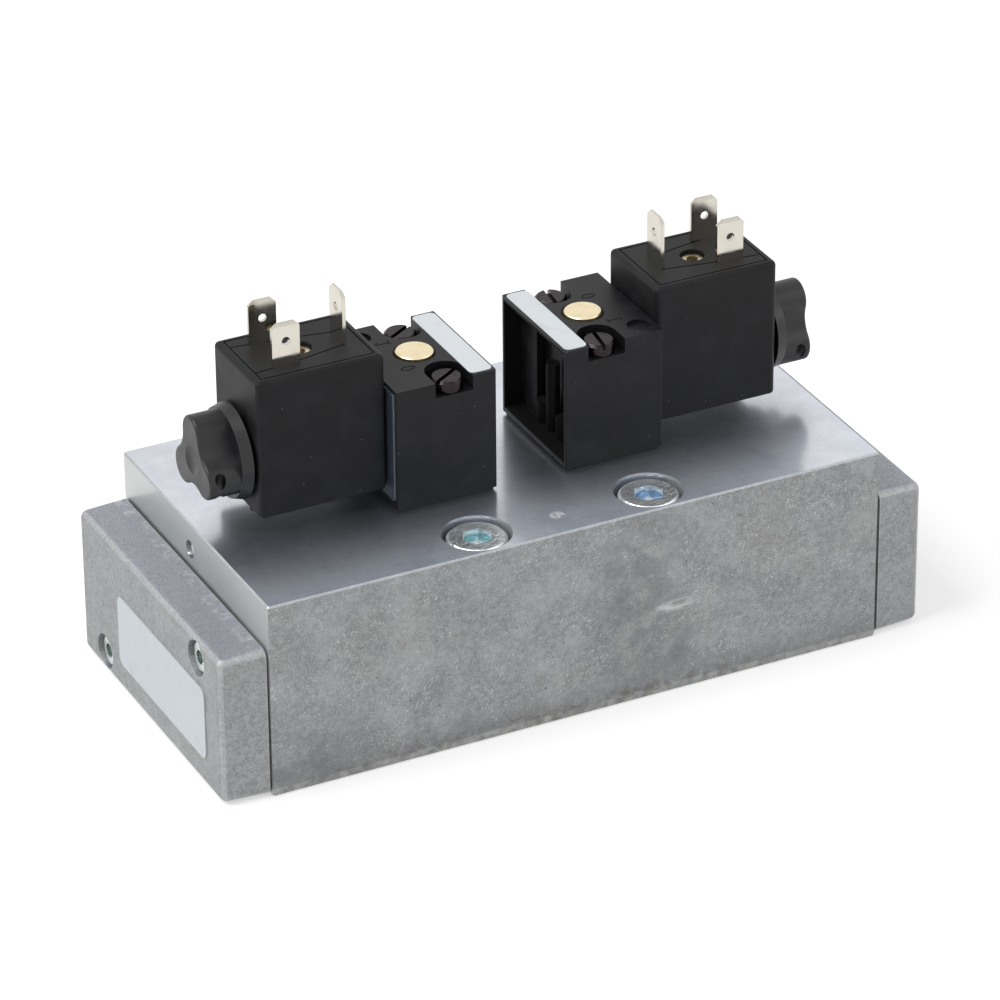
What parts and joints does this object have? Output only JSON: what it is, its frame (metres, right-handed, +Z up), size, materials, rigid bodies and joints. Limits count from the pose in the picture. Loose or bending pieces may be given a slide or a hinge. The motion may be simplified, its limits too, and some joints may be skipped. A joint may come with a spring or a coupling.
{
  "type": "double solenoid valve",
  "caption": "Spool valve for a sub-base, shifted by a solenoid pilot at each end, with push overrides, flat end covers and flat pin coils.",
  "frame": {"origin": "centre of the underside, on the face that meets the sub-base", "axes": "+X along the spool to the right end, -Y to the front with the nearer bolts, +Z up to the coils"},
  "size_m": [0.1653, 0.0742, 0.0932],
  "materials": {
    "body_aluminium": "machined and tumbled casting",
    "cover_aluminium": "die cast",
    "gasket_rubber": "moulded",
    "zinc_steel": "bright zinc plate",
    "plug_steel": "polished ball",
    "sleeve_aluminium": "hard anodised",
    "spool_steel": "ground",
    "piston_plastic": "moulded",
    "block_plastic": "moulded black",
    "coil_plastic": "moulded black",
    "knob_plastic": "moulded black",
    "label_foil": "satin foil",
    "button_brass": "turned",
    "insert_brass": "turned",
    "blade_nickel": "nickel plate",
    "core_steel": "turned",
    "spring_steel": "drawn wire"
  },
  "bodies": {
    "valve": {"armature_tube_left": "core_steel", "armature_tube_right": "core_steel", "base_gasket": "gasket_rubber", "coil_left": "coil_plastic", "coil_right": "coil_plastic", "coil_seals_left": "gasket_rubber", "coil_seals_right": "gasket_rubber", "cover_gasket_left": "gasket_rubber", "cover_gasket_right": "gasket_rubber", "cover_screws_left": "zinc_steel", "cover_screws_right": "zinc_steel", "earth_blade_left": "blade_nickel", "earth_blade_right": "blade_nickel", "end_cover_left": "cover_aluminium", "end_cover_right": "cover_aluminium", "fixed_core_left": "core_steel", "fixed_core_right": "core_steel", "gallery_plugs": "plug_steel", "mounting_bolts": "zinc_steel", "override_spring_left": "spring_steel", "override_spring_right": "spring_steel", "pilot_block_left": "block_plastic", "pilot_block_right": "block_plastic", "pilot_gasket_left": "gasket_rubber", "pilot_gasket_right": "gasket_rubber", "pilot_label_left": "label_foil", "pilot_label_right": "label_foil", "pilot_nozzle_left": "insert_brass", "pilot_nozzle_right": "insert_brass", "pilot_screws_left": "zinc_steel", "pilot_screws_right": "zinc_steel", "plunger_spring_left": "spring_steel", "plunger_spring_right": "spring_steel", "power_blades_left": "blade_nickel", "power_blades_right": "blade_nickel", "rating_plate": "label_foil", "sleeve_seals": "gasket_rubber", "spool_sleeve": "sleeve_aluminium", "terminal_insert_left": "insert_brass", "terminal_insert_right": "insert_brass", "tube_seal_left": "gasket_rubber", "tube_seal_right": "gasket_rubber", "valve_body": "body_aluminium", "yoke_plate_left": "zinc_steel", "yoke_plate_right": "zinc_steel"},
    "spool_assembly": {"spool": "spool_steel", "piston_left": "piston_plastic", "piston_right": "piston_plastic", "piston_seals": "gasket_rubber"},
    "plunger_assembly_left": {"plunger_left": "core_steel", "plunger_poppet_left": "gasket_rubber"},
    "override_left": {"override_button_left": "button_brass", "override_seal_left": "gasket_rubber"},
    "knob_left": {"retaining_knob_left": "knob_plastic"},
    "plunger_assembly_right": {"plunger_right": "core_steel", "plunger_poppet_right": "gasket_rubber"},
    "override_right": {"override_button_right": "button_brass", "override_seal_right": "gasket_rubber"},
    "knob_right": {"retaining_knob_right": "knob_plastic"}
  },
  "joints": [
    {"name": "spool_slide", "type": "slide", "parent": "valve", "child": "spool_assembly", "axis": [1, 0, 0], "range_m": [0, 0.009]},
    {"name": "plunger_slide_left", "type": "slide", "parent": "valve", "child": "plunger_assembly_left", "axis": [-1, 0, 0], "range_m": [0, 0.001], "stiffness_N_per_m": 400, "springref_m": -0.004, "deforming": ["plunger_spring_left"]},
    {"name": "override_push_left", "type": "slide", "parent": "valve", "child": "override_left", "axis": [0, 0, -1], "range_m": [0, 0.0015], "stiffness_N_per_m": 1200, "springref_m": -0.0025, "deforming": ["override_spring_left"]},
    {"name": "knob_turn_left", "type": "hinge", "parent": "valve", "child": "knob_left", "pos_m": [-0.066, 0.0005, 0.061], "axis": [-1, 0, 0], "range_deg": [0, 90]},
    {"name": "plunger_slide_right", "type": "slide", "parent": "valve", "child": "plunger_assembly_right", "axis": [1, 0, 0], "range_m": [0, 0.001], "stiffness_N_per_m": 400, "springref_m": -0.004, "deforming": ["plunger_spring_right"]},
    {"name": "override_push_right", "type": "slide", "parent": "valve", "child": "override_right", "axis": [0, 0, -1], "range_m": [0, 0.0015], "stiffness_N_per_m": 1200, "springref_m": -0.0025, "deforming": ["override_spring_right"]},
    {"name": "knob_turn_right", "type": "hinge", "parent": "valve", "child": "knob_right", "pos_m": [0.066, 0.0005, 0.061], "axis": [1, 0, 0], "range_deg": [0, 90]}
  ]
}
